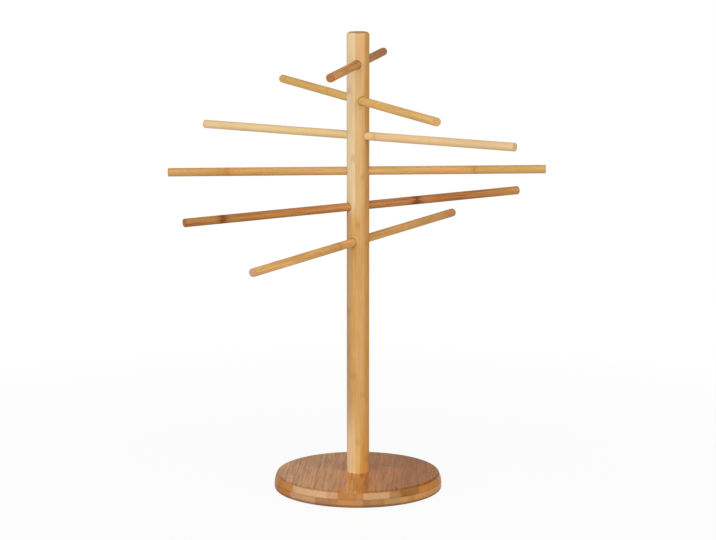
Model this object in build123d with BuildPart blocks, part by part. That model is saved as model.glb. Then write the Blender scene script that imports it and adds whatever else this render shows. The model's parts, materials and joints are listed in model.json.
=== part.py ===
from build123d import *
import os
from math import cos, radians, sin

# Pasta drying rack in bamboo: a round base board, an upright post screwed to it from
# below, and six loose rods that pass through the post one under another, each turned a
# step further round, like a spiral stair.
# Millimetres, +Z up. The origin is on the table, on the axis of the post. The rack is
# seen from the front along +Y, with +X to the right.

# Rods
rod_d = 9.0
rod_len = 400.0
rod_end_break = 0.5         # chamfer round the sawn ends
rod_gap = 0.2               # play all round a rod in its bore

# Spiral, from the top rod down: the lead end of a rod is its end further round the spiral
top_rod_drop = 34.0         # from the top of the post to the axis of the top rod
rod_pitch = 37.75
bearings = (82, 114, 145, 178, 208, 238)        # degrees from +X, counter-clockwise from above
droops = (2.7, 0.2, 1.1, 0.8, 0.6, 0.7)         # degrees by which the lead end hangs
lead_shares = (0.008, 0.016, 0.011, 0.004, 0.007, 0.002)    # of rod_len, pushed to the lead end

# Post
post_d = 24.0
post_len = 477.5
post_top_round = 3.0
post_foot_break = 0.5
post_seat_depth = 3.0       # the foot stands this deep in the base board
post_gap = 0.1              # play all round the foot in its seat

# Base board, glued up from two bamboo panels
base_d = 180.0
panel_t = 8.75
edge_rise = 12.0            # height of the curved part of the edge, below the top
edge_lean = 3.5             # how far that curve leans in at the top
top_edge_round = 3.0
bottom_edge_break = 2.2

# Foot pads under the board
pad_d = 14.0
pad_t = 1.5
pad_circle_d = 142.0
pad_count = 4
pad_turn = 45               # degrees from +X to the first pad

# Countersunk socket bolt that holds the post
bolt_d = 6.0
bolt_len = 35.0
bolt_head_d = 12.0
bolt_tip_break = 0.8
bolt_sink = 0.5             # head below the underside of the board
bolt_head_gap = 0.05
bolt_hole_gap = 0.3         # play all round the bolt in the board and in the post
socket_across = 4.0         # hexagon, across its flats
socket_depth = 2.6

# Threaded insert in the foot of the post
insert_d = 10.0
insert_len = 15.0
insert_sink = 0.5           # below the foot of the post
insert_gap = 0.05
thread_gap = 0.05
tip_room = 4.0              # hole beyond the tip of the bolt

# Levels
board_bottom = pad_t
board_seam = board_bottom + panel_t
board_top = board_seam + panel_t
post_bottom = board_top - post_seat_depth
post_top = post_bottom + post_len
bolt_bottom = board_bottom + bolt_sink
bolt_tip = bolt_bottom + bolt_len
insert_bottom = post_bottom + insert_sink
insert_top = insert_bottom + insert_len

# Axis of each rod: a plane across it at the axis of the post, facing the lead end
rod_planes = []
for step, (bearing, droop) in enumerate(zip(bearings, droops)):
    turn = radians(bearing)
    hang = radians(droop)
    rod_planes.append(
        Plane(
            origin=(0, 0, post_top - top_rod_drop - step * rod_pitch),
            x_dir=(-sin(turn), cos(turn), 0),
            z_dir=(cos(turn) * cos(hang), sin(turn) * cos(hang), -sin(hang)),
        )
    )

os.makedirs("parts", exist_ok=True)


def save(builder, name):
    builder.part.label = name
    export_step(builder.part, f"parts/{name}.step")


# Base board as glued: turned to its outline, then bored for the bolt and the post
with BuildPart() as board:
    with BuildSketch(Plane.XZ) as outline:
        with BuildLine():
            underside = Line((0, board_bottom), (base_d / 2, board_bottom))
            side = Line(underside @ 1, (base_d / 2, board_top - edge_rise))
            swell = TangentArc(side @ 1, (base_d / 2 - edge_lean, board_top), tangent=side % 1)
            Polyline(swell @ 1, (0, board_top), underside @ 0)
        make_face()
        fillet(outline.vertices().group_by(Axis.Y)[-1].sort_by(Axis.X)[-1], top_edge_round)
        chamfer(outline.vertices().group_by(Axis.Y)[0].sort_by(Axis.X)[-1], bottom_edge_break)
    revolve(axis=Axis.Z)
    with BuildSketch(Plane.XY.offset(board_top)):
        Circle(post_d / 2 + post_gap)
    extrude(amount=-post_seat_depth, mode=Mode.SUBTRACT)
    with Locations(Plane(origin=(0, 0, board_bottom), z_dir=(0, 0, -1))):
        CounterSinkHole(
            radius=bolt_d / 2 + bolt_hole_gap,
            counter_sink_radius=bolt_head_d / 2 + bolt_sink + bolt_head_gap,
            counter_sink_angle=90,
        )

# The two panels of the board, which meet at the glue line
with BuildPart() as base_top_panel:
    add(board.part)
    split(bisect_by=Plane.XY.offset(board_seam), keep=Keep.TOP)
save(base_top_panel, "base_top_panel")

with BuildPart() as base_bottom_panel:
    add(board.part)
    split(bisect_by=Plane.XY.offset(board_seam), keep=Keep.BOTTOM)
save(base_bottom_panel, "base_bottom_panel")

# Post, with a bore for each rod and a stepped hole in its foot
with BuildPart() as post:
    with BuildSketch(Plane.XY.offset(post_bottom)):
        Circle(post_d / 2)
    extrude(amount=post_len)
    ends = post.edges().filter_by(GeomType.CIRCLE).sort_by(Axis.Z)
    fillet(ends[-1], post_top_round)
    chamfer(ends[0], post_foot_break)
    for rod_plane in rod_planes:
        with BuildSketch(rod_plane):
            Circle(rod_d / 2 + rod_gap)
        extrude(amount=post_d, both=True, mode=Mode.SUBTRACT)
    with BuildSketch(Plane.XY.offset(post_bottom)):
        Circle(insert_d / 2 + insert_gap)
    extrude(amount=insert_sink + insert_len, mode=Mode.SUBTRACT)
    with BuildSketch(Plane.XY.offset(insert_top)):
        Circle(bolt_d / 2 + bolt_hole_gap)
    extrude(amount=bolt_tip + tip_room - insert_top, mode=Mode.SUBTRACT)
save(post, "post")

# Rods, from the top down
for number, (rod_plane, lead_share) in enumerate(zip(rod_planes, lead_shares), start=1):
    with BuildPart() as rod:
        with BuildSketch(rod_plane.offset(lead_share * rod_len)):
            Circle(rod_d / 2)
        extrude(amount=rod_len / 2, both=True)
        chamfer(rod.edges().filter_by(GeomType.CIRCLE), rod_end_break)
    save(rod, f"rod_{number}")

# Bolt, pushed up from below until its head seats in the board
with BuildPart() as fixing_bolt:
    with BuildSketch(Plane.XZ):
        with BuildLine():
            Polyline(
                (0, bolt_bottom),
                (bolt_head_d / 2, bolt_bottom),
                (bolt_d / 2, bolt_bottom + (bolt_head_d - bolt_d) / 2),
                (bolt_d / 2, bolt_tip),
                (0, bolt_tip),
                close=True,
            )
        make_face()
    revolve(axis=Axis.Z)
    chamfer(fixing_bolt.edges().sort_by(Axis.Z)[-1], bolt_tip_break)
    with BuildSketch(Plane.XY.offset(bolt_bottom)):
        RegularPolygon(socket_across / 2, 6, major_radius=False)
    extrude(amount=socket_depth, mode=Mode.SUBTRACT)
save(fixing_bolt, "fixing_bolt")

# Threaded insert that the bolt screws into
with BuildPart() as threaded_insert:
    with BuildSketch(Plane.XY.offset(insert_bottom)):
        Circle(insert_d / 2)
        Circle(bolt_d / 2 + thread_gap, mode=Mode.SUBTRACT)
    extrude(amount=insert_len)
save(threaded_insert, "threaded_insert")

# Foot pads, stuck under the board
pad_spots = PolarLocations(pad_circle_d / 2, pad_count, start_angle=pad_turn)
for number, spot in enumerate(pad_spots, start=1):
    with BuildPart() as foot_pad:
        with BuildSketch(Plane(origin=spot.position)):
            Circle(pad_d / 2)
        extrude(amount=pad_t)
    save(foot_pad, f"foot_pad_{number}")
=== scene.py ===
# Bamboo drying rack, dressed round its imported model. Metres, +Z up, seen from the front along +Y.
import json
from math import pi, radians

import bmesh
import bpy
import numpy as np
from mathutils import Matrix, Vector


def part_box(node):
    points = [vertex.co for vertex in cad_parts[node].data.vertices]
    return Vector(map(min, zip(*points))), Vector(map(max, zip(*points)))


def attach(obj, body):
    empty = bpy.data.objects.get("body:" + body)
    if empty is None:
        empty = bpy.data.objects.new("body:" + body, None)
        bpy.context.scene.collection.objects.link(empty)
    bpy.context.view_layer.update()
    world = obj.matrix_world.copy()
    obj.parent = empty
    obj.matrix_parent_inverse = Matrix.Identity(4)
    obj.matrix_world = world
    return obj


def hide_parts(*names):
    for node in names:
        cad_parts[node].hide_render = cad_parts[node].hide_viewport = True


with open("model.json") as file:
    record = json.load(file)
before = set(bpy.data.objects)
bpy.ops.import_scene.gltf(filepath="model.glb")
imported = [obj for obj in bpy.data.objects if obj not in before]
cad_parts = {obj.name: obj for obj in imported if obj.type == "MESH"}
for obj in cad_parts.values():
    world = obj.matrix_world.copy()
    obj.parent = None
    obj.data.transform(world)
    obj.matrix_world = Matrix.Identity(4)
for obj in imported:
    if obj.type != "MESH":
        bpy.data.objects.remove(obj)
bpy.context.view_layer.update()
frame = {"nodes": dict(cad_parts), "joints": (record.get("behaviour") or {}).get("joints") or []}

mm = 0.001
meshCare = {"weldGap": 0.002 * mm, "shortestEdge": 0.0005 * mm}
print("frame loaded:", len(frame["nodes"]), "nodes")


# Reading the frame

def meshPoints(mesh):
    # The vertices of a mesh, one row each.
    flat = np.empty(len(mesh.vertices) * 3)
    mesh.vertices.foreach_get("co", flat)
    return flat.reshape(-1, 3)


def rodLine(name):
    # Centre, unit axis, half length and radius of a rod, from its slide and its packed vertices.
    joint = next(j for j in frame["joints"] if j["child"] == name)
    axis = np.array(joint["axis"]) / np.linalg.norm(joint["axis"])
    points = meshPoints(frame["nodes"][name].data)
    along = points @ axis
    middle = (points.min(0) + points.max(0)) / 2
    across = points - middle - np.outer((points - middle) @ axis, axis)
    return middle, axis, (along.max() - along.min()) / 2, np.linalg.norm(across, axis=1).max()


rodNames = sorted(name for name in frame["nodes"] if name.startswith("rod_"))
padNames = sorted(name for name in frame["nodes"] if name.startswith("foot_pad_"))
rodLines = {name: rodLine(name) for name in rodNames}


# Surfaces: grids of points worked out by numpy, then joined into closed meshes

def arc(centreX, centreY, radius, startAngle, endAngle, steps):
    # Points on a circle between two angles in degrees, both ends included.
    angles = np.radians(np.linspace(startAngle, endAngle, steps))
    return np.column_stack([centreX + radius * np.cos(angles), centreY + radius * np.sin(angles)])


def line(start, end, steps=2):
    # Points on a straight run, both ends included.
    return np.array(start) + np.linspace(0, 1, steps)[:, None] * (np.array(end) - np.array(start))


def sideways(axis):
    # Two unit vectors square to the axis: the first lies flat, the second points up.
    flat = np.cross((0, 0, 1), axis) if abs(axis[2]) < 0.9 else np.array((1.0, 0, 0))
    flat = flat / np.linalg.norm(flat)
    return flat, np.cross(axis, flat)


def turned(profile, columns, origin=(0, 0, 0), axis=(0, 0, 1), swell=None):
    # A profile of (radius, height) turned round an axis: origin + height * axis + radius * spoke.
    # swell(angle, radius, height) is added to the radius.
    flat, up = sideways(np.array(axis, float))
    angle = np.arange(columns) * 2 * pi / columns
    radius = np.repeat(profile[:, :1], columns, 1)
    if swell is not None:
        radius = radius + swell(angle[None, :], profile[:, :1], profile[:, 1:]) * (radius > 0)
    spokes = np.cos(angle)[:, None] * flat + np.sin(angle)[:, None] * up
    return np.array(origin) + profile[:, 1, None, None] * np.array(axis) + radius[..., None] * spokes


def gridQuads(rows, columns):
    # Corner numbers of the quads of a grid whose columns close round.
    first = np.arange((rows - 1) * columns).reshape(rows - 1, columns)
    after = np.roll(first, -1, axis=1)
    return np.stack([first, after, after + columns, first + columns], -1).reshape(-1, 4)


def newObject(name, data):
    made = bpy.data.objects.new(name, data)
    bpy.context.scene.collection.objects.link(made)
    return made


def makePiece(name, surfaces, body, replaced, material, values=None):
    # Joins surfaces, each a grid of points or (points, quads), into one closed smooth mesh.
    points, quads, start = [], [], 0
    for surface in surfaces:
        grid, corners = surface if isinstance(surface, tuple) else (surface, None)
        corners = gridQuads(*grid.shape[:2]) if corners is None else corners
        points.append(grid.reshape(-1, 3))
        quads.append(corners + start)
        start += len(points[-1])
    used, corners = np.unique(np.concatenate(quads), return_inverse=True)
    mesh = bpy.data.meshes.new(name)
    mesh.from_pydata(np.concatenate(points)[used], [], corners.reshape(-1, 4))
    work = bmesh.new()
    work.from_mesh(mesh)
    bmesh.ops.remove_doubles(work, verts=work.verts, dist=meshCare["weldGap"])
    bmesh.ops.dissolve_degenerate(work, edges=work.edges, dist=meshCare["shortestEdge"])
    bmesh.ops.recalc_face_normals(work, faces=work.faces)
    openEdges = sum(not edge.is_manifold for edge in work.edges)
    work.to_mesh(mesh)
    work.free()
    mesh.polygons.foreach_set("use_smooth", np.ones(len(mesh.polygons), bool))
    if values is not None:
        label, rule = values
        mesh.attributes.new(label, "FLOAT", "POINT").data.foreach_set("value", rule(meshPoints(mesh)))
    mesh.materials.append(material)
    piece = newObject(name, mesh)
    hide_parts(*replaced)
    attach(piece, body)
    print(f"  {name}: {len(mesh.polygons)} faces, {openEdges} open edges")


# Node helpers

def addNode(tree, kind, inputs=None, **settings):
    # One shader node: settings are its properties, inputs its sockets by name or number.
    node = tree.nodes.new(kind)
    for key, value in settings.items():
        setattr(node, key, value)
    for key, value in (inputs or {}).items():
        if isinstance(value, bpy.types.NodeSocket):
            tree.links.new(value, node.inputs[key])
        else:
            node.inputs[key].default_value = value
    return node


def calc(tree, operation, *values):
    return addNode(tree, "ShaderNodeMath", dict(enumerate(values)), operation=operation).outputs[0]


def stretch(tree, vector, factors):
    return addNode(tree, "ShaderNodeVectorMath", {0: vector, 1: factors}, operation="MULTIPLY").outputs[0]


def shift(tree, vector, offset):
    return addNode(tree, "ShaderNodeVectorMath", {0: vector, 1: offset}, operation="ADD").outputs[0]


def noise(tree, vector, scale, detail=2.0, roughness=0.5, distortion=0.0):
    # Smooth noise. Scale is how often it repeats in a millimetre along X, Y and Z.
    inputs = {"Vector": stretch(tree, vector, scale), "Scale": 1.0, "Detail": detail,
              "Roughness": roughness, "Distortion": distortion}
    return addNode(tree, "ShaderNodeTexNoise", inputs).outputs["Fac"]


def sway(tree, vector, scale, reach, detail=2.0):
    # Noise that swings by half the reach to either side of nothing.
    return calc(tree, "MULTIPLY", calc(tree, "SUBTRACT", noise(tree, vector, scale, detail), 0.5), reach)


def remap(tree, value, fromLow, fromHigh, toLow=0.0, toHigh=1.0, smooth=True):
    inputs = {"Value": value, "From Min": fromLow, "From Max": fromHigh, "To Min": toLow, "To Max": toHigh}
    kind = "SMOOTHSTEP" if smooth else "LINEAR"
    return addNode(tree, "ShaderNodeMapRange", inputs, interpolation_type=kind).outputs[0]


def mixTone(tree, share, first, second, blend="MIX"):
    node = addNode(tree, "ShaderNodeMix", {0: share, 6: first, 7: second}, data_type="RGBA", blend_type=blend)
    return node.outputs[2]


def lay(tree, mask, share, colour, laid):
    # Mixes a written tone over a colour where the mask is, by the share at most.
    return mixTone(tree, calc(tree, "MULTIPLY", mask, share), colour, tone(*laid))


def parts(tree, vector):
    return addNode(tree, "ShaderNodeSeparateXYZ", {0: vector}).outputs


def ramp(tree, value, stops, steady=False):
    # A colour ramp: stops are (place, tone); steady keeps each tone up to the next stop.
    node = addNode(tree, "ShaderNodeValToRGB", {0: value})
    node.color_ramp.interpolation = "CONSTANT" if steady else "LINEAR"
    elements = node.color_ramp.elements
    while len(elements) < len(stops):
        elements.new(0.5)
    for element, (place, colour) in zip(elements, stops):
        element.position = place
        element.color = colour
    return node.outputs[0]


def tone(red, green, blue):
    # A colour as it looks on screen, 0 to 255, turned into light.
    share = np.array((red, green, blue)) / 255
    light = np.where(share <= 0.04045, share / 12.92, ((share + 0.055) / 1.055) ** 2.4)
    return (*light.tolist(), 1.0)


def newGroup(name, inputs, outputs):
    # An empty shader group with named sockets: inputs are (name, kind, value), outputs (name, kind).
    tree = bpy.data.node_groups.new(name, "ShaderNodeTree")
    for label, kind, value in inputs:
        socket = tree.interface.new_socket(label, in_out="INPUT", socket_type="NodeSocket" + kind)
        if value is not None:
            socket.default_value = value
    for label, kind in outputs:
        tree.interface.new_socket(label, in_out="OUTPUT", socket_type="NodeSocket" + kind)
    return tree, tree.nodes.new("NodeGroupInput").outputs, tree.nodes.new("NodeGroupOutput").inputs


def useGroup(tree, group, **inputs):
    return addNode(tree, "ShaderNodeGroup", inputs, node_tree=group).outputs


# Shared effects. Place is in millimetres with the grain along X. A noise is written as its scale, then
# its detail, roughness and distortion; a range is where a mask starts and where it is full.

# noise and range of each mark, and how far fibres stand up and vessels sink in
fibreMarks = {"Cloud": (((0.022, 0.09, 0.09), 2.0, 0.55, 0.3), (0.38, 0.62)),
              "Streak": (((0.011, 0.42, 0.42), 3.0, 0.6), (0.36, 0.66)),
              "Fibre": (((0.05, 2.3, 2.3), 2.0, 0.6), (0.42, 0.72)),
              "Vessel": (((0.035, 1.25, 1.25), 1.0, 0.4), (0.56, 0.70))}
fibreRelief = {"rise": 0.6, "sink": 0.5}


def fibreGroup():
    # Slow clouds of tone, long streaks, fine fibres and the short dark lines of the sap vessels.
    outputs = [(mark, "Float") for mark in (*fibreMarks, "Height")]
    tree, given, result = newGroup("bambooFibres", [("Place", "Vector", None)], outputs)
    waves, masks = {}, {}
    for mark, (wave, span) in fibreMarks.items():
        waves[mark] = noise(tree, given["Place"], *wave)
        masks[mark] = remap(tree, waves[mark], *span)
        tree.links.new(masks[mark], result[mark])
    height = calc(tree, "SUBTRACT", calc(tree, "MULTIPLY", waves["Fibre"], fibreRelief["rise"]),
                  calc(tree, "MULTIPLY", masks["Vessel"], fibreRelief["sink"]))
    tree.links.new(height, result["Height"])
    return tree


knuckleMarks = {"wander": ((0.02, 0.22, 0.22), 7.0), "frayed": (0.03, 0.9, 0.9),
                "frayedToReach": (0.3, 0.7, 0.35, 1.65), "lineRange": (0.9, 0.2)}


def knuckleGroup():
    # The ring where a cane was jointed, one at At and one every Spacing on from there: a stain that
    # frays out along the fibres, with a thin dark line in it.
    inputs = [("Place", "Vector", None), ("At", "Float", 0.0), ("Spacing", "Float", 240.0),
              ("Reach", "Float", 6.0)]
    tree, given, result = newGroup("bambooKnuckle", inputs, [("Band", "Float"), ("Line", "Float")])
    frayed = noise(tree, given["Place"], knuckleMarks["frayed"])
    bend = sway(tree, given["Place"], *knuckleMarks["wander"])
    along = calc(tree, "ADD", calc(tree, "SUBTRACT", parts(tree, given["Place"])[0], given["At"]), bend)
    away = calc(tree, "PINGPONG", along, calc(tree, "MULTIPLY", given["Spacing"], 0.5))
    fray = remap(tree, frayed, *knuckleMarks["frayedToReach"], smooth=False)
    reach = calc(tree, "MULTIPLY", given["Reach"], fray)
    tree.links.new(remap(tree, away, reach, 0.0), result["Band"])
    tree.links.new(remap(tree, away, *knuckleMarks["lineRange"]), result["Line"])
    return tree


endGrainMarks = {"dots": 1.15, "scatter": 0.85, "cloud": (0.0, 0.3, 0.3),
                 "cloudToSize": (0.3, 0.7, 0.18, 0.42), "dotEdge": (0.0, 0.12)}
vesselTone = (92, 54, 28)


def endGrainGroup():
    # Cut ends: the sap vessels as dark dots, thinning out to one side.
    tree, given, result = newGroup("endGrain", [("Place", "Vector", None)], [("Dots", "Float")])
    flat = stretch(tree, given["Place"], (0.0, 1.0, 1.0))
    dots = addNode(tree, "ShaderNodeTexVoronoi", {"Vector": flat, "Scale": endGrainMarks["dots"],
                                                  "Randomness": endGrainMarks["scatter"]})
    size = remap(tree, noise(tree, flat, endGrainMarks["cloud"]), *endGrainMarks["cloudToSize"])
    inside = calc(tree, "SUBTRACT", size, dots.outputs["Distance"])
    tree.links.new(remap(tree, inside, *endGrainMarks["dotEdge"]), result["Dots"])
    return tree


handlingMarks = {"smudge": ((0.03, 0.05, 0.05), 4.0, 0.65, 0.4), "scratchTurn": (0.5, 0.35, 0.9),
                 "scratchScale": (0.05, 2.6, 2.6), "scratchRange": (0.70, 0.76)}


def handlingGroup():
    # Marks of use: cloudy smudges in the lacquer and short fine scratches.
    outputs = [("Smudge", "Float"), ("Scratch", "Float")]
    tree, given, result = newGroup("handling", [("Place", "Vector", None)], outputs)
    slanted = addNode(tree, "ShaderNodeMapping", {"Vector": given["Place"],
                                                  "Rotation": handlingMarks["scratchTurn"],
                                                  "Scale": handlingMarks["scratchScale"]}).outputs[0]
    scratch = remap(tree, noise(tree, slanted, (1.0, 1.0, 1.0), 1.0), *handlingMarks["scratchRange"])
    tree.links.new(noise(tree, given["Place"], *handlingMarks["smudge"]), result["Smudge"])
    tree.links.new(scratch, result["Scratch"])
    return tree


fibres, knuckles = fibreGroup(), knuckleGroup()
endGrain, handling = endGrainGroup(), handlingGroup()


def useRings(tree, place, at, spacing, reach):
    return useGroup(tree, knuckles, Place=place, At=at, Spacing=spacing, Reach=reach)


def newMaterial(name, **fixed):
    # A material with its shader: the fixed values sit on the shader's own sockets.
    material = bpy.data.materials.new(name)
    material.use_nodes = True
    tree = material.node_tree
    shader = tree.nodes["Principled BSDF"]
    for key, value in fixed.items():
        shader.inputs[key.replace("_", " ")].default_value = value
    return material, tree, shader.inputs


def grainPlace(tree, turn, middle=(0, 0, 0)):
    # Object coordinates in millimetres from middle, turned so that the grain lies along X.
    coordinates = addNode(tree, "ShaderNodeTexCoord").outputs["Object"]
    centred = shift(tree, coordinates, tuple(-value for value in middle))
    return addNode(tree, "ShaderNodeMapping", {"Vector": centred, "Rotation": tuple(turn),
                                               "Scale": (1 / mm,) * 3}).outputs[0]


gluing = {"softBorder": 0.8, "seamRange": (0.22, 0.05), "numberStep": 0.37,
          "patternShift": (830.0, 60.0, 60.0)}     # how far the grain moves for a strip's number


def glueStrips(tree, across, strips, low):
    # Strips glued side by side, given as (right border, tones...) in millimetres from low on. Gives a
    # colour output for each tone, a number that differs from strip to strip, and the seams.
    high = strips[-1][0]
    share = remap(tree, across, low, high, smooth=False)
    starts = [0.0] + [(strip[0] - low) / (high - low) for strip in strips[:-1]]
    ends, soft = starts[1:] + [1.0], gluing["softBorder"] / (high - low)
    colours = []
    for k in range(1, len(strips[0])):
        stops = [(place, tone(*strip[k])) for start, end, strip in zip(starts, ends, strips)
                 for place in (start + soft, end - soft)]
        colours.append(ramp(tree, share, stops))
    grey = [(k * gluing["numberStep"] % 1,) * 3 + (1,) for k in range(len(strips))]
    number = ramp(tree, share, list(zip(starts, grey)), True)
    seam = 0.0
    for border in strips[:-1]:
        away = calc(tree, "ABSOLUTE", calc(tree, "SUBTRACT", across, border[0]))
        seam = calc(tree, "MAXIMUM", seam, remap(tree, away, *gluing["seamRange"]))
    return colours, number, seam


def tintBamboo(tree, colour, marks, tint):
    # The marks laid over the plain tone, with the tint's share of each.
    order = (("Cloud", "blush"), ("Streak", "dark"), ("Fibre", "pale"), ("Vessel", "dark"))
    for (mark, laid), share in zip(order, tint["marks"]):
        colour = lay(tree, marks[mark], share, colour, tint[laid])
    return colour


def finish(tree, sockets, colour, rough, height, look):
    # Links colour, roughness and a bump to the shader.
    bump = addNode(tree, "ShaderNodeBump", {"Height": height, "Strength": look["bumpStrength"],
                                            "Distance": look["bumpDepth"]})
    tree.links.new(colour, sockets["Base Color"])
    tree.links.new(rough, sockets["Roughness"])
    tree.links.new(bump.outputs[0], sockets["Normal"])


satin = {"roughness": 0.42, "bumpStrength": 0.5, "bumpDepth": 0.06 * mm,
         "dulling": (0.10, 0.14, 0.08)}     # more roughness on fibres, smudges and scratches
polished = {**satin, "roughness": 0.10}


def finishBamboo(tree, sockets, colour, marks, used, height, lacquer):
    # Shared end of the bamboo materials: the lacquer is duller on fibres, smudges and scratches.
    rough = lacquer["roughness"]
    for mark, share in zip((marks["Fibre"], used["Smudge"], used["Scratch"]), lacquer["dulling"]):
        rough = calc(tree, "ADD", rough, calc(tree, "MULTIPLY", mark, share))
    finish(tree, sockets, colour, rough, height, lacquer)


# Studio

studio = {
    "cameraPlace": (0, -3.188, 0.8365), "cameraPitch": 10.61, "lens": 153.15, "sensor": 36.0,
    "viewEnd": 100.0,
    "ambient": 0.24,            # world light on the object; the camera and gloss see white
    # each lamp's place, width and power
    "lamps": {"leftBox": ((-2.3, -2.3, 1.35), 1.5, 37.0), "rightBox": ((2.3, -2.3, 1.25), 1.5, 32.0),
              "frontBox": ((-0.2, -3.2, 0.9), 1.2, 23.0), "topBox": ((0, -0.9, 2.4), 1.4, 15.0)},
    "aim": (0, 0, 0.24),
    "floorTone": (232, 231, 229), "floorHalf": 14.0, "floorDrop": 0.02 * mm,
    "floorGlow": 0.93,          # share of plain white near the rack
    "glowFrom": 0.25, "shadowReach": 0.9,       # it grows from the first distance, full at the second
    "floorBounce": 0.76,        # light the floor gives back, under the board too
}


def seenPlainly(tree, path):
    # 1 for the rays that show the background: to the camera, in gloss and through glass.
    return calc(tree, "MAXIMUM", path["Is Camera Ray"], calc(tree, "MAXIMUM", path["Is Glossy Ray"],
                                                            path["Is Transmission Ray"]))


def makeStudio():
    scene = bpy.context.scene
    scene.view_settings.view_transform = "Standard"
    lens = bpy.data.cameras.new("photoCamera")
    lens.lens = studio["lens"]
    lens.sensor_width = studio["sensor"]
    lens.clip_end = studio["viewEnd"]
    camera = newObject("photoCamera", lens)
    camera.location = studio["cameraPlace"]
    camera.rotation_euler = (radians(90 - studio["cameraPitch"]), 0, 0)
    scene.camera = camera
    for name, (place, size, power) in studio["lamps"].items():
        light = bpy.data.lights.new(name, "AREA")
        light.size = size
        light.energy = power
        lamp = newObject(name, light)
        lamp.location = place
        lamp.rotation_euler = (Vector(studio["aim"]) - Vector(place)).to_track_quat("-Z", "Y").to_euler()

    scene.world = bpy.data.worlds.new("studioWorld")  # white to the camera and to gloss
    scene.world.use_nodes = True
    tree = scene.world.node_tree
    background = tree.nodes["Background"].inputs
    seen = seenPlainly(tree, addNode(tree, "ShaderNodeLightPath").outputs)
    strength = remap(tree, seen, 0.0, 1.0, studio["ambient"], 1.0, smooth=False)
    tree.links.new(strength, background["Strength"])
    background["Color"].default_value = (1, 1, 1, 1)


def makeFloor():
    # A flat floor. Near the rack it takes the shadow, further out it turns into plain white.
    # It gives back an even light, and from below it is clear, so that the underside can be seen.
    material, tree, sockets = newMaterial("paleFloor", Roughness=0.9, Specular_IOR_Level=0.1,
                                          Base_Color=tone(*studio["floorTone"]))
    place = addNode(tree, "ShaderNodeTexCoord").outputs["Object"]
    away = addNode(tree, "ShaderNodeVectorMath", {0: place}, operation="LENGTH").outputs["Value"]
    far = remap(tree, away, studio["glowFrom"], studio["shadowReach"], studio["floorGlow"], 1.0)
    path = addNode(tree, "ShaderNodeLightPath").outputs
    white = addNode(tree, "ShaderNodeEmission", {"Color": (1, 1, 1, 1), "Strength": 1.0}).outputs[0]
    bounce = addNode(tree, "ShaderNodeEmission", {"Color": tone(*studio["floorTone"]),
                                                  "Strength": studio["floorBounce"]}).outputs[0]
    clear = addNode(tree, "ShaderNodeBsdfTransparent").outputs[0]
    below = addNode(tree, "ShaderNodeNewGeometry").outputs["Backfacing"]
    shader = tree.nodes["Principled BSDF"].outputs[0]
    plain = calc(tree, "MULTIPLY", seenPlainly(tree, path), far)
    for share, other in ((path["Is Diffuse Ray"], bounce), (plain, white), (below, clear)):
        shader = addNode(tree, "ShaderNodeMixShader", {0: share, 1: shader, 2: other}).outputs[0]
    tree.links.new(shader, tree.nodes["Material Output"].inputs[0])
    half, level = studio["floorHalf"], -studio["floorDrop"]
    mesh = bpy.data.meshes.new("studioFloor")
    corners = [(-half, -half, level), (half, -half, level), (half, half, level), (-half, half, level)]
    mesh.from_pydata(corners, [], [(0, 1, 2, 3)])
    mesh.materials.append(material)
    newObject("studioFloor", mesh)


makeStudio()
makeFloor()
print("studio ready")


# Rods

rodShape = {"columns": 72, "rowStep": 4 * mm, "endRound": 0.5 * mm, "unevenness": 0.05 * mm,
            "waveLengths": (31 * mm, 12 * mm)}
# the two bands are millimetres from an end
rodLook = {"patternShift": (61.7, 13.1, 7.3), "ringLine": 0.5, "ringDent": 0.7, "dotShare": 0.6,
           "cutBand": (0.45, 0.12), "darkBand": (1.2, 0.4), "darkShare": 0.5}

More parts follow.
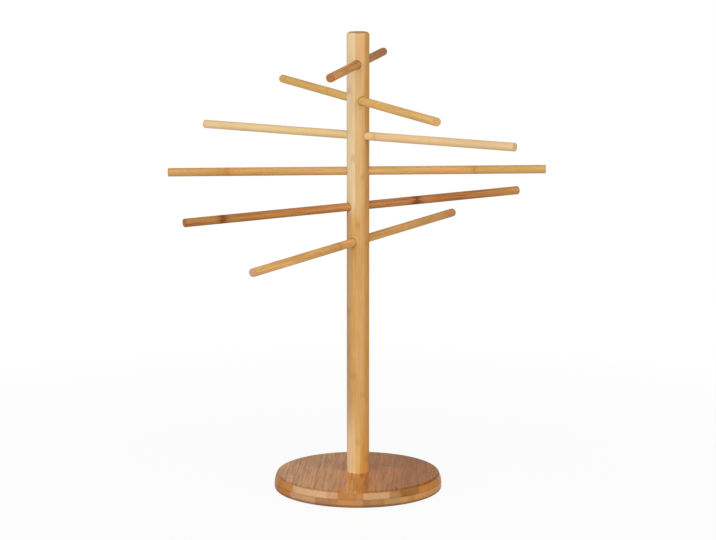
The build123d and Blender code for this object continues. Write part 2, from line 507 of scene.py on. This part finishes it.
# tones run from the tail to the lead, the end further round the spiral, as (share of the length, tone);
# rings are the place of a knuckle in millimetres from the middle, the spacing and the reach of its stain;
# marks are the shares of clouds, streaks, fibres and vessels
# rod_1, rod_2 and rod_6 point more to the front; their tones are set lighter partly as painted light, for the
# lamp light they catch less of.
rodLooks = {
    "rod_1": {
        "tones": [(0, (234, 165, 93)), (0.48, (225, 158, 76)), (0.56, (206, 134, 62)), (1, (186, 120, 58))],
        "rings": (-40, 260, 6), "stain": 0.25, "marks": (0.25, 0.35, 0.25, 0.4), "cut": (172, 112, 70),
        "blush": (206, 138, 88), "dark": (116, 70, 38), "pale": (228, 180, 118)},
    "rod_2": {
        "tones": [(0, (240, 196, 122)), (0.5, (237, 191, 106)), (1, (230, 186, 107))],
        "rings": (66, 300, 5), "stain": 0.2, "marks": (0.3, 0.2, 0.25, 0.25), "cut": (214, 166, 108),
        "blush": (236, 172, 118), "dark": (178, 122, 60), "pale": (238, 200, 140)},
    "rod_3": {
        "tones": [(0, (229, 196, 145)), (0.43, (233, 199, 146)), (0.45, (234, 205, 141)),
                  (1, (235, 207, 156))],
        "rings": (-28, 290, 3), "stain": 0.2, "marks": (0.3, 0.15, 0.25, 0.18), "cut": (228, 190, 140),
        "blush": (238, 190, 150), "dark": (198, 150, 94), "pale": (246, 220, 174)},
    "rod_4": {
        "tones": [(0, (205, 171, 103)), (0.2, (206, 155, 81)), (0.4, (208, 167, 102)),
                  (0.7, (203, 159, 94)), (0.83, (198, 145, 72)), (1, (197, 159, 100))],
        "rings": (137, 262, 5), "stain": 0.4, "marks": (0.35, 0.25, 0.25, 0.25), "cut": (206, 152, 96),
        "blush": (226, 164, 112), "dark": (174, 112, 54), "pale": (238, 200, 144)},
    "rod_5": {
        "tones": [(0, (213, 155, 93)), (0.25, (188, 120, 66)), (0.47, (213, 149, 91)),
                  (0.56, (198, 137, 81)), (0.8, (191, 131, 70)), (1, (188, 131, 79))],
        "rings": (-72, 230, 10), "stain": 0.8, "marks": (0.3, 0.4, 0.3, 0.5), "cut": (176, 116, 70),
        "blush": (180, 112, 66), "dark": (116, 62, 32), "pale": (216, 160, 100)},
    "rod_6": {
        "tones": [(0, (222, 152, 100)), (0.04, (222, 152, 97)), (0.09, (236, 180, 111)),
                  (0.5, (245, 187, 108)), (1, (246, 195, 119))],
        "rings": (40, 280, 6), "stain": 0.2, "marks": (0.3, 0.3, 0.3, 0.35), "cut": (206, 158, 130),
        "blush": (204, 140, 92), "dark": (156, 102, 56), "pale": (230, 190, 132)},
}


def rodMaterial(name, seed):
    look = rodLooks[name]
    middle, axis, half, radius = rodLines[name]
    material, tree, sockets = newMaterial(name + "Bamboo", Coat_Weight=0.03, Coat_Roughness=0.3,
                                          Specular_IOR_Level=0.01)
    turn = Vector(axis).to_track_quat("X", "Z").inverted().to_euler()
    place = grainPlace(tree, turn, middle)
    along = parts(tree, place)[0]
    moved = shift(tree, place, tuple(seed * step for step in rodLook["patternShift"]))
    marks = useGroup(tree, fibres, Place=moved)
    ring = useRings(tree, place, *look["rings"])
    used = useGroup(tree, handling, Place=moved)
    cut = useGroup(tree, endGrain, Place=moved)

    lengthwise = remap(tree, along, -half / mm, half / mm, smooth=False)
    colour = ramp(tree, lengthwise, [(share, tone(*written)) for share, written in look["tones"]])
    colour = tintBamboo(tree, colour, marks, look)
    stain = calc(tree, "MAXIMUM", calc(tree, "MULTIPLY", ring["Band"], look["stain"]),
                 calc(tree, "MULTIPLY", ring["Line"], rodLook["ringLine"]))
    colour = mixTone(tree, stain, colour, tone(*look["dark"]))

    fromEnd = calc(tree, "SUBTRACT", half / mm, calc(tree, "ABSOLUTE", along))
    nearEnd = remap(tree, fromEnd, *rodLook["darkBand"])
    cutColour = lay(tree, cut["Dots"], rodLook["dotShare"], tone(*look["cut"]), vesselTone)
    colour = lay(tree, nearEnd, rodLook["darkShare"], colour, look["dark"])
    colour = mixTone(tree, remap(tree, fromEnd, *rodLook["cutBand"]), colour, cutColour)
    dent = calc(tree, "MULTIPLY", ring["Line"], rodLook["ringDent"])
    height = calc(tree, "SUBTRACT", marks["Height"], dent)
    finishBamboo(tree, sockets, colour, marks, used, height, satin)
    return material


def rodSurface(name, seed):
    # A round bar whose radius sinks here and there by a few hundredths of a millimetre,
    # R - u * (2 + sin + sin) / 4 over angle and length, with rounded ends closed at their centres.
    middle, axis, half, radius = rodLines[name]
    soft = rodShape["endRound"]
    longWave, shortWave = rodShape["waveLengths"]
    waves = np.random.default_rng(seed).uniform(0, 2 * pi, 4)
    end = np.vstack([line((0, 0), (radius - 1.2 * soft, 0), 6), arc(radius - soft, soft, soft, -90, 0, 7)])
    end[:, 1] -= half
    rows = int((2 * half - 2 * soft) / rodShape["rowStep"])
    barrel = line((radius, soft - half), (radius, half - soft), rows)[1:-1]
    profile = np.vstack([end, barrel, end[::-1] * (1, -1)])

    def swell(angle, radius, height):
        first = np.sin(height / longWave + waves[0] + 2 * angle + waves[1])
        second = np.sin(height / shortWave + waves[2] + 3 * angle + waves[3])
        return -rodShape["unevenness"] * (2 + first + second) / 4

    return turned(profile, rodShape["columns"], middle, axis, swell)


for seed, name in enumerate(rodNames, start=1):
    makePiece(name + "Turned", [rodSurface(name, seed)], name, [name],
              rodMaterial(name, seed))
print("rods ready")


# Post

postShape = {"columns": 120, "windowHalf": 12, "windowRings": 10, "windowEase": 0.8, "lipRows": 6,
             "boreRows": 14, "topRound": 3 * mm, "footBreak": 0.5 * mm, "borePlay": 0.2 * mm,
             "boreLip": 0.35 * mm, "plainRow": 3 * mm, "plainGap": 0.8 * mm, "holeRadius": 5.05 * mm,
             "holeDepth": 15.5 * mm, "tipRadius": 3.3 * mm, "tipDepth": 25 * mm}
boreRadius = rodLines[rodNames[0]][3] + postShape["borePlay"]

# strips from left to right as (right border in millimetres from the axis, upper tone, middle tone,
# foot tone), and where the upper and the foot tones fade into the middle ones, in millimetres of height
# Across the strips the tones are partly their own and partly painted light, lighter to the left where the
# light comes from; the foot tones are lighter partly as painted bounce light from the board.
postStrips = [
    (-7.6, (238, 221, 181), (190, 157, 108), (244, 215, 171)),
    (-3.4, (233, 211, 166), (206, 157, 87), (238, 211, 154)),
    (1.9, (212, 175, 119), (203, 159, 88), (222, 184, 106)),
    (6.8, (219, 179, 120), (211, 164, 98), (208, 149, 68)),
    (12.0, (206, 150, 74), (210, 152, 66), (224, 157, 69)),
]
postFades = {"upper": (292, 318), "foot": (110, 40)}
postTint = {"marks": (0.3, 0.18, 0.22, 0.14),
            "blush": (226, 168, 120), "dark": (176, 118, 62), "pale": (244, 212, 156)}
postLook = {"grainTurn": -2.0, "wander": ((0.01, 0.0, 0.0), 1.6, 1.0), "ragged": ((0.02, 0.5, 0.5), 40.0),
            "rings": (-40.0, 236.0, 7.0), "stain": 0.3, "seamShare": 0.12, "seamTone": (150, 100, 56),
            "cutBand": (0.9, 0.15), "cutTone": (150, 104, 62), "cutShare": 0.5, "dotShare": 0.7,
            "boreReach": 0.9 * mm, "boreShare": 0.4, "boreTone": (112, 66, 32)}


def boreLines():
    # Height at the post's axis, direction and bearing of each rod's bore.
    found = []
    for middle, axis, half, radius in rodLines.values():
        height = middle[2] - (middle[:2] @ axis[:2]) / (axis[:2] @ axis[:2]) * axis[2]
        found.append((height, axis, np.arctan2(axis[1], axis[0])))
    return found


def squareWave(count, half):
    # Walks once round a square window: the coordinate holds at +half, crosses, holds at -half.
    walk = np.mod(count, 8 * half)
    return np.clip(2 * half - np.minimum(walk, 8 * half - walk), -half, half)


def onWall(radius, height, axis, reach, angle, side):
    # Where lines along the bore, at reach from its axis, leave the post's round wall.
    flat, up = sideways(axis)
    spot = reach * (np.cos(angle)[:, None] * flat + np.sin(angle)[:, None] * up)
    a = axis[0] ** 2 + axis[1] ** 2
    b = spot[:, 0] * axis[0] + spot[:, 1] * axis[1]
    c = spot[:, 0] ** 2 + spot[:, 1] ** 2 - radius ** 2
    step = (-b + side * np.sqrt(b * b - a * c)) / a
    return spot + step[:, None] * axis + np.array((0, 0, height))


def boreSurface(radius, height, axis, column):
    # One grid from a square window in the wall, in over the rounded lip, through the bore and out
    # over the other lip to its window. Rings between window and lip are mixed on the unrolled wall.
    half, columns, lip = postShape["windowHalf"], postShape["columns"], postShape["boreLip"]
    cell = 2 * pi / columns
    count = np.arange(8 * half)
    angle = count * 2 * pi / len(count)
    lipAngles = np.radians(np.linspace(0, 90, postShape["lipRows"]))
    rows = []
    for side in (1, -1):
        centre = (column + (0 if side > 0 else columns // 2)) * cell
        frameTurn = centre + side * squareWave(count, half) * cell
        frameRise = height + squareWave(count - 2 * half, half) * cell * radius
        mouth = onWall(radius, height, axis, boreRadius + lip, angle, side)
        mouthTurn = centre + (np.arctan2(mouth[:, 1], mouth[:, 0]) - centre + pi) % (2 * pi) - pi
        share = np.linspace(0, 1, postShape["windowRings"])[:, None] ** postShape["windowEase"]
        turns = frameTurn + share * (mouthTurn - frameTurn)
        rises = frameRise + share * (mouth[:, 2] - frameRise)
        rings = np.stack([radius * np.cos(turns), radius * np.sin(turns), rises], -1)
        lips = np.stack([onWall(radius, height, axis, boreRadius + lip * (1 - np.sin(a)), angle, side)
                         - side * lip * (1 - np.cos(a)) * axis for a in lipAngles[1:]])
        rows.append(np.concatenate([rings, lips]))
    inner = line(np.zeros(1), np.ones(1), postShape["boreRows"])[1:-1, :, None]
    through = rows[0][-1] + inner * (rows[1][-1] - rows[0][-1])
    return np.concatenate([rows[0], through, rows[1][::-1]])


def postSurfaces():
    low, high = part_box("post")
    radius, bottom, top = high.x, low.z, high.z
    half, columns = postShape["windowHalf"], postShape["columns"]
    cell = 2 * pi / columns
    bores = [(height, axis, int(round(bearing / cell)) % columns) for height, axis, bearing in boreLines()]

    wallLow, wallHigh = bottom + postShape["footBreak"], top - postShape["topRound"]
    levels = [np.linspace(wallLow, wallHigh, int((wallHigh - wallLow) / postShape["plainRow"]))]
    for height, axis, column in bores:
        reach = half * cell * radius
        levels[0] = levels[0][abs(levels[0] - height) > reach + postShape["plainGap"]]
        levels.append(height + np.arange(-half, half + 1) * cell * radius)
    levels = np.sort(np.concatenate(levels))
    wall = turned(np.column_stack([np.full(len(levels), radius), levels]), columns)
    quads = gridQuads(len(levels), columns).reshape(-1, columns, 4)
    keep = np.ones(quads.shape[:2], bool)
    for height, axis, column in bores:
        inBand = abs((levels[:-1] + levels[1:]) / 2 - height) < half * cell * radius
        for start in (column - half, column + columns // 2 - half):
            inWindow = np.isin(np.arange(columns), np.arange(start, start + 2 * half) % columns)
            keep &= ~(inBand[:, None] & inWindow[None, :])

    rounding, chamfer = postShape["topRound"], postShape["footBreak"]
    crown = np.vstack([arc(radius - rounding, wallHigh, rounding, 0, 90, 10),
                       line((radius - rounding - 0.3 * mm, top), (0, top), 8)])
    hole, tip = postShape["holeRadius"], postShape["tipRadius"]
    step, end = bottom + postShape["holeDepth"], bottom + postShape["tipDepth"]
    foot = np.vstack([line((radius, wallLow), (radius - chamfer, bottom), 3),
                      line((radius - chamfer - 0.2 * mm, bottom), (hole + 0.1 * mm, bottom), 6),
                      line((hole, bottom), (hole, step), 6), line((tip, step), (tip, end), 4), [(0, end)]])
    surfaces = [(wall, quads[keep]), turned(crown, columns), turned(foot, columns)]
    for height, axis, column in bores:
        surfaces.append(boreSurface(radius, height, axis, column))
    return surfaces


def boreNearness(points):
    # 1 inside and at the lip of a bore, falling to 0 at boreReach outside it.
    # The post is darkened there, partly as scorching from the drill and partly as painted shade.
    nearest = np.full(len(points), 1.0)
    for height, axis, bearing in boreLines():
        spot = points - np.array((0, 0, height))
        nearest = np.minimum(nearest, np.linalg.norm(spot - np.outer(spot @ axis, axis), axis=1) - boreRadius)
    return np.clip(1 - nearest / postLook["boreReach"], 0, 1).astype(np.float32)


def postMaterial():
    low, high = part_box("post")
    material, tree, sockets = newMaterial("postBamboo", Coat_Weight=0.04, Coat_Roughness=0.25,
                                          Specular_IOR_Level=0.02)
    axes = parts(tree, grainPlace(tree, (0, 0, radians(postLook["grainTurn"]))))
    place = addNode(tree, "ShaderNodeCombineXYZ", {0: axes[2], 1: axes[0], 2: axes[1]}).outputs[0]
    across = calc(tree, "ADD", axes[0], sway(tree, place, *postLook["wander"]))
    (upper, middle, foot), number, seam = glueStrips(tree, across, postStrips, low.x / mm)
    own = shift(tree, place, stretch(tree, number, gluing["patternShift"]))
    marks = useGroup(tree, fibres, Place=own)
    ring = useRings(tree, own, *postLook["rings"])
    used = useGroup(tree, handling, Place=place)
    cut = useGroup(tree, endGrain, Place=own)

    change = calc(tree, "ADD", axes[2], sway(tree, own, *postLook["ragged"]))
    colour = mixTone(tree, remap(tree, change, *postFades["upper"]), middle, upper)
    colour = mixTone(tree, remap(tree, change, *postFades["foot"]), colour, foot)
    colour = tintBamboo(tree, colour, marks, postTint)
    stain = calc(tree, "MAXIMUM", ring["Band"], ring["Line"])
    colour = lay(tree, stain, postLook["stain"], colour, postTint["dark"])
    colour = lay(tree, seam, postLook["seamShare"], colour, postLook["seamTone"])

    fromTop = calc(tree, "SUBTRACT", high.z / mm, axes[2])
    sawn = mixTone(tree, postLook["cutShare"], colour, tone(*postLook["cutTone"]))
    cutColour = lay(tree, cut["Dots"], postLook["dotShare"], sawn, vesselTone)
    colour = mixTone(tree, remap(tree, fromTop, *postLook["cutBand"]), colour, cutColour)
    # Partly painted shade: the post darkens at and inside the bores, partly as scorching from the drill.
    bored = addNode(tree, "ShaderNodeAttribute", attribute_name="boreNearness").outputs["Fac"]
    colour = lay(tree, bored, postLook["boreShare"], colour, postLook["boreTone"])
    finishBamboo(tree, sockets, colour, marks, used, marks["Height"], satin)
    return material


makePiece("postTurned", postSurfaces(), "stand", ["post"], postMaterial(),
          ("boreNearness", boreNearness))
print("post ready")


# Base board

boardShape = {"columns": 240, "edgeRise": 12 * mm, "edgeLean": 3.5 * mm, "topRound": 3 * mm,
              "bottomRound": 2.2 * mm, "seatRadius": 12.1 * mm, "seatDepth": 3 * mm, "boltHole": 3.3 * mm,
              "sinkRadius": 6.55 * mm, "seatRound": 0.15 * mm}


def boardSide():
    # The edge of the board from the underside up: radius and height, upright, then an arc that leans
    # in and a small round over the top, each tangent to the next. The circle of the lean has radius
    # (lean^2 + rise^2) / (2 * lean).
    bottomLow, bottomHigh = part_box("base_bottom_panel")
    topLow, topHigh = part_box("base_top_panel")
    rim, under, over = bottomHigh.x, bottomLow.z, topHigh.z
    rise, lean, soft = boardShape["edgeRise"], boardShape["edgeLean"], boardShape["topRound"]
    big = (lean ** 2 + rise ** 2) / (2 * lean)
    centreX, centreY = rim - big, over - rise
    softX = centreX + np.sqrt((big - soft) ** 2 - (over - soft - centreY) ** 2)
    meet = np.degrees(np.arctan2(over - soft - centreY, softX - centreX))
    below = boardShape["bottomRound"]
    return np.vstack([
        line((rim - below - 0.4 * mm, under), (rim - below - 0.01 * mm, under)),
        arc(rim - below, under + below, below, -90, 0, 9),
        line((rim, under + below), (rim, centreY), 5)[1:],
        arc(centreX, centreY, big, 0, meet, 22)[1:],
        arc(softX, over - soft, soft, meet, 90, 10)[1:],
        line((softX - 0.01 * mm, over), (softX - 0.5 * mm, over)),
    ])


def boardSurfaces():
    # Both panels: the side is cut at the glue line, the rest of each section is straight.
    side = boardSide()
    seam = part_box("base_top_panel")[0].z
    under, over = side[0, 1], side[-1, 1]
    seamRadius = np.interp(seam, side[:, 1], side[:, 0])
    hole, seat, lip = boardShape["boltHole"], boardShape["seatRadius"], boardShape["seatRound"]
    floor = over - boardShape["seatDepth"]
    above = side[side[:, 1] > seam + 0.01 * mm]
    below = side[side[:, 1] < seam - 0.01 * mm]
    topInner = side[-1, 0]
    upper = np.vstack([
        line((hole, seam), (seamRadius, seam), 12), above,
        line((topInner - 1 * mm, over), (seat + 0.3 * mm, over), 12),
        arc(seat + lip, over - lip, lip, 90, 180, 4),
        line((seat, floor + 0.2 * mm), (seat, floor), 2), line((seat - 0.2 * mm, floor), (hole, floor), 5),
        line((hole, floor - 0.3 * mm), (hole, seam + 0.3 * mm), 3), [(hole, seam)],
    ])
    sink = boardShape["sinkRadius"]
    lower = np.vstack([
        line((sink + 0.3 * mm, under), (side[0, 0] - 1 * mm, under), 12), below,
        line((seamRadius, seam), (hole, seam), 12),
        line((hole, seam - 0.3 * mm), (hole, under + sink - hole + 0.05 * mm), 4),
        line((hole, under + sink - hole), (sink, under), 5), [(sink + 0.3 * mm, under)],
    ])
    return turned(upper, boardShape["columns"]), turned(lower, boardShape["columns"])


# strips from left to right: right border in millimetres from the axis, tone of the face and of the edge
# The face tones of the upper strips darken to the right, partly their own tone and partly painted light from
# the left.
upperStrips = [
    (-66.0, (228, 170, 117), (200, 129, 58)), (-29.0, (223, 163, 106), (219, 177, 132)),
    (-17.0, (221, 158, 98), (202, 152, 112)), (-11.5, (219, 141, 78), (179, 118, 63)),
    (3.5, (240, 168, 94), (178, 116, 58)), (10.0, (222, 140, 68), (182, 121, 64)),
    (37.3, (201, 130, 67), (200, 155, 107)), (48.8, (188, 118, 56), (158, 115, 67)),
    (67.5, (178, 108, 44), (140, 83, 33)), (90.0, (178, 110, 47), (203, 124, 49)),
]
lowerStrips = [
    (-69.0, (198, 140, 88), (185, 106, 48)), (-41.0, (206, 158, 104), (205, 155, 112)),
    (-16.5, (186, 124, 82), (170, 116, 78)), (9.5, (200, 142, 84), (190, 130, 74)),
    (32.5, (188, 136, 84), (157, 111, 67)), (48.1, (200, 150, 90), (182, 137, 91)),
    (90.0, (196, 144, 88), (212, 152, 88)),
]
boardTint = {"marks": (0.2, 0.4, 0.25, 0.5),
             "blush": (176, 108, 64), "dark": (104, 56, 28), "pale": (222, 170, 112)}
boardEdgeTint = {"marks": (0.25, 0.15, 0.2, 0.12),
                 "blush": (214, 148, 92), "dark": (130, 78, 40), "pale": (240, 206, 156)}
# ranges are millimetres from the axis outwards, from the top down or from the underside up; the rounding
# of the top edge takes the rim's shade tone, multiplied, as painted shade; the edge takes a dark tone
# towards the underside as painted shade
boardLook = {"grainTurn": -3.0, "edgeOut": (84.0, 86.0), "edgeDown": (1.2, 2.8), "rimOut": (83.0, 85.0),
             "rimDown": (0.0, 0.6), "rimShadeTone": (224, 226, 238), "glueRange": (1.2, 0.1), "glueShare": 0.22,
             "glueTone": (126, 74, 38), "bottomShadeUp": (3.9, 2.2), "bottomShadeShare": 0.6,
             "bottomShadeTone": (106, 78, 54), "rings": (250.0, 6.0), "stain": 0.2, "seamShare": 0.15,
             "seamTone": (90, 50, 26), "edgeBump": 0.35}


def boardMaterial(name, stripList, seed):
    material, tree, sockets = newMaterial(name, Coat_Weight=0.06, Coat_Roughness=0.08,
                                          Specular_IOR_Level=0.01)
    place = grainPlace(tree, (0, 0, radians(-90 - boardLook["grainTurn"])))
    axes = parts(tree, place)
    across = calc(tree, "MULTIPLY", axes[1], -1.0)  # grows to the right, as the strips are listed
    low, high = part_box("base_bottom_panel")
    (faceTone, edgeTone), number, seam = glueStrips(tree, across, stripList, low.x / mm)
    stripShift = (gluing["patternShift"][0] + seed, *gluing["patternShift"][1:])
    own = shift(tree, place, stretch(tree, number, stripShift))
    marks = useGroup(tree, fibres, Place=own)
    ring = useRings(tree, own, -seed, *boardLook["rings"])
    used = useGroup(tree, handling, Place=place)

    radius = calc(tree, "SQRT", calc(tree, "ADD", calc(tree, "MULTIPLY", axes[0], axes[0]),
                                     calc(tree, "MULTIPLY", axes[1], axes[1])))
    down = calc(tree, "SUBTRACT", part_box("base_top_panel")[1].z / mm, axes[2])
    up = calc(tree, "SUBTRACT", axes[2], low.z / mm)
    onEdge = calc(tree, "MULTIPLY", remap(tree, radius, *boardLook["edgeOut"]),
                  remap(tree, down, *boardLook["edgeDown"]))
    rim = calc(tree, "MULTIPLY", remap(tree, radius, *boardLook["rimOut"]),
               remap(tree, down, *boardLook["rimDown"]))
    face = tintBamboo(tree, faceTone, marks, boardTint)
    # Painted shade: over the rounding of the top edge the face tone is darkened and cooled.
    face = mixTone(tree, rim, face, tone(*boardLook["rimShadeTone"]), "MULTIPLY")
    edge = tintBamboo(tree, edgeTone, marks, boardEdgeTint)
    fromGlue = calc(tree, "ABSOLUTE", calc(tree, "SUBTRACT", axes[2], high.z / mm))
    edge = lay(tree, remap(tree, fromGlue, *boardLook["glueRange"]), boardLook["glueShare"], edge,
               boardLook["glueTone"])
    # Painted shade: the edge darkens over its lowest few millimetres, on the chamfer that faces the floor.
    edge = lay(tree, remap(tree, up, *boardLook["bottomShadeUp"]), boardLook["bottomShadeShare"], edge,
               boardLook["bottomShadeTone"])
    colour = mixTone(tree, onEdge, face, edge)
    stain = calc(tree, "MAXIMUM", ring["Band"], ring["Line"])
    colour = lay(tree, stain, boardLook["stain"], colour, boardTint["dark"])
    colour = lay(tree, seam, boardLook["seamShare"], colour, boardLook["seamTone"])
    depth = remap(tree, onEdge, 0.0, 1.0, 1.0, boardLook["edgeBump"])
    height = calc(tree, "MULTIPLY", marks["Height"], depth)
    finishBamboo(tree, sockets, colour, marks, used, height, polished)
    return material


topSurface, bottomSurface = boardSurfaces()
makePiece("baseTopPanel", [topSurface], "stand", ["base_top_panel"],
          boardMaterial("boardUpperBamboo", upperStrips, 35.0))
makePiece("baseBottomPanel", [bottomSurface], "stand", ["base_bottom_panel"],
          boardMaterial("boardLowerBamboo", lowerStrips, 110.0))
print("board ready")


# Fastening and feet

boltShape = {"columns": 48, "headRadius": 6 * mm, "radius": 3 * mm, "pitch": 1 * mm, "rootRadius": 2.45 * mm,
             "threadFrom": 9 * mm, "tipBreak": 0.8 * mm, "socketHalf": 2 * mm, "socketDepth": 2.6 * mm,
             "headRound": 0.25 * mm, "rowsPerTurn": 12}
insertShape = {"columns": 48, "inner": 3.05 * mm, "outer": 5 * mm, "pitch": 2 * mm, "threadDepth": 0.7 * mm,
               "endBevel": 0.4 * mm, "rowsPerTurn": 16}
padShape = {"columns": 64, "round": 0.45 * mm}


def threadSwell(pitch, depth, low, high):
    # A screw thread: the radius falls by depth * (1 - ridge) where ridge is a flattened wave of
    # height / pitch - angle, faded out at both ends.
    def swell(angle, radius, height):
        phase = height / pitch - angle / (2 * pi)
        wave = abs(2 * (phase - np.floor(phase)) - 1)
        ridge = np.clip(wave * 1.5 - 0.2, 0, 1)
        fade = np.clip((height - low) / pitch, 0, 1) * np.clip((high - height) / pitch, 0, 1)
        return -depth * (1 - ridge) * fade
    return swell


def boltSurface():
    # Countersunk head with a hexagonal socket, cone, shank and rolled thread, turned in one profile.
    low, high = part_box("fixing_bolt")
    head, shank, socket = boltShape["headRadius"], boltShape["radius"], boltShape["socketHalf"]
    deep, tip = low.z + boltShape["socketDepth"], high.z - boltShape["tipBreak"]
    cone = low.z + head - shank
    rows = int((tip - cone) / boltShape["pitch"] * boltShape["rowsPerTurn"])
    soft = boltShape["headRound"]
    profile = np.vstack([
        [(0, deep + 0.5 * mm)], line((socket, deep), (socket, low.z + 0.2 * mm), 5),
        line((socket + 0.3 * mm, low.z), (head - 0.35 * mm, low.z), 5),
        arc(head - soft, low.z + soft, soft, -90, 30, 7),
        line((head - 0.45 * mm, low.z + 0.5 * mm), (shank + 0.2 * mm, cone - 0.15 * mm), 6),
        line((shank, cone + 0.1 * mm), (shank, tip), rows),
        line((shank, tip), (shank - boltShape["tipBreak"], high.z), 4)[1:], [(0, high.z)],
    ])
    thread = threadSwell(boltShape["pitch"], shank - boltShape["rootRadius"], boltShape["threadFrom"],
                         tip + 1 * mm)

    def swell(angle, radius, height):
        facet = (angle + pi / 6) % (pi / 3) - pi / 6
        hexagon = np.where(abs(radius - socket) < 0.01 * mm, radius / np.cos(facet) - radius, 0)
        return hexagon + np.where(height > cone, thread(angle, radius, height), 0)

    return turned(profile, boltShape["columns"], swell=swell)


def insertSurface():
    # A sleeve with a coarse wood thread outside.
    low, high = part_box("threaded_insert")
    inner, outer = insertShape["inner"], insertShape["outer"]
    rows = int((high.z - low.z) / insertShape["pitch"] * insertShape["rowsPerTurn"])
    bevel = insertShape["endBevel"]
    profile = np.vstack([line((inner, low.z), (outer - bevel, low.z), 4),
                         line((outer, low.z + bevel), (outer, high.z - bevel), rows),
                         line((outer - bevel, high.z), (inner, high.z), 4),
                         line((inner, high.z), (inner, low.z), 10)[1:]])
    thread = threadSwell(insertShape["pitch"], insertShape["threadDepth"], low.z + 1 * mm, high.z - bevel)

    def swell(angle, radius, height):
        return np.where(radius > outer - 0.01 * mm, thread(angle, radius, height), 0)

    return turned(profile, insertShape["columns"], swell=swell)


def padSurface(name):
    # A thin disc with a rounded rim below.
    low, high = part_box(name)
    radius, soft = (high.x - low.x) / 2, padShape["round"]
    profile = np.vstack([line((0, low.z), (radius - 1.3 * soft, low.z), 6),
                         arc(radius - soft, low.z + soft, soft, -90, 0, 7),
                         line((radius, high.z - 0.1 * mm), (radius, high.z)),
                         line((radius - 0.2 * mm, high.z), (0, high.z), 5)])
    return turned(profile, padShape["columns"], ((low.x + high.x) / 2, (low.y + high.y) / 2, 0))


metalMarks = {"cloud": ((0.35, 0.35, 0.35), 4.0, 0.6), "dullRange": (0.42, 0.66), "dullRough": 0.2,
              "lines": ((0.4, 0.4, 9.0), 1.0), "bumpStrength": 0.3, "bumpDepth": 0.03 * mm}
rubberMarks = {"pebbles": 1.6, "pebbleToRough": (0.0, 0.7, 0.75, 0.55), "tone": (38, 38, 40),
               "dust": ((0.2, 0.2, 0.2), 5.0, 0.7), "dustRange": (0.45, 0.75), "dustTone": (74, 72, 70),
               "bumpStrength": 0.4, "bumpDepth": 0.08 * mm}


def metalMaterial(name, colour, worn, roughness):
    # Plated or turned metal: fine turning lines round the axis, dulled here and there.
    material, tree, sockets = newMaterial(name, Metallic=1.0)
    place = grainPlace(tree, (0, 0, 0))
    dull = remap(tree, noise(tree, place, *metalMarks["cloud"]), *metalMarks["dullRange"])
    rough = calc(tree, "ADD", roughness, calc(tree, "MULTIPLY", dull, metalMarks["dullRough"]))
    lines = noise(tree, place, *metalMarks["lines"])
    finish(tree, sockets, mixTone(tree, dull, colour, worn), rough, lines, metalMarks)
    return material


def rubberMaterial():
    # Soft black rubber with a fine pebbled skin and dust in its hollows.
    material, tree, sockets = newMaterial("padRubber", Specular_IOR_Level=0.35)
    place = grainPlace(tree, (0, 0, 0))
    cells = addNode(tree, "ShaderNodeTexVoronoi", {"Vector": place, "Scale": rubberMarks["pebbles"]})
    pebbles = cells.outputs["Distance"]
    dust = remap(tree, noise(tree, place, *rubberMarks["dust"]), *rubberMarks["dustRange"])
    colour = mixTone(tree, dust, tone(*rubberMarks["tone"]), tone(*rubberMarks["dustTone"]))
    rough = remap(tree, pebbles, *rubberMarks["pebbleToRough"], smooth=False)
    finish(tree, sockets, colour, rough, pebbles, rubberMarks)
    return material


makePiece("fixingBoltThreaded", [boltSurface()], "stand", ["fixing_bolt"],
          metalMaterial("zincSteel", tone(205, 206, 208), tone(168, 168, 170), 0.28))
makePiece("insertThreaded", [insertSurface()], "stand", ["threaded_insert"],
          metalMaterial("brass", tone(214, 176, 98), tone(176, 138, 76), 0.32))
rubber = rubberMaterial()
for number, name in enumerate(padNames, start=1):
    makePiece("footPad" + str(number), [padSurface(name)], "stand", [name], rubber)
print("fastening and feet ready")
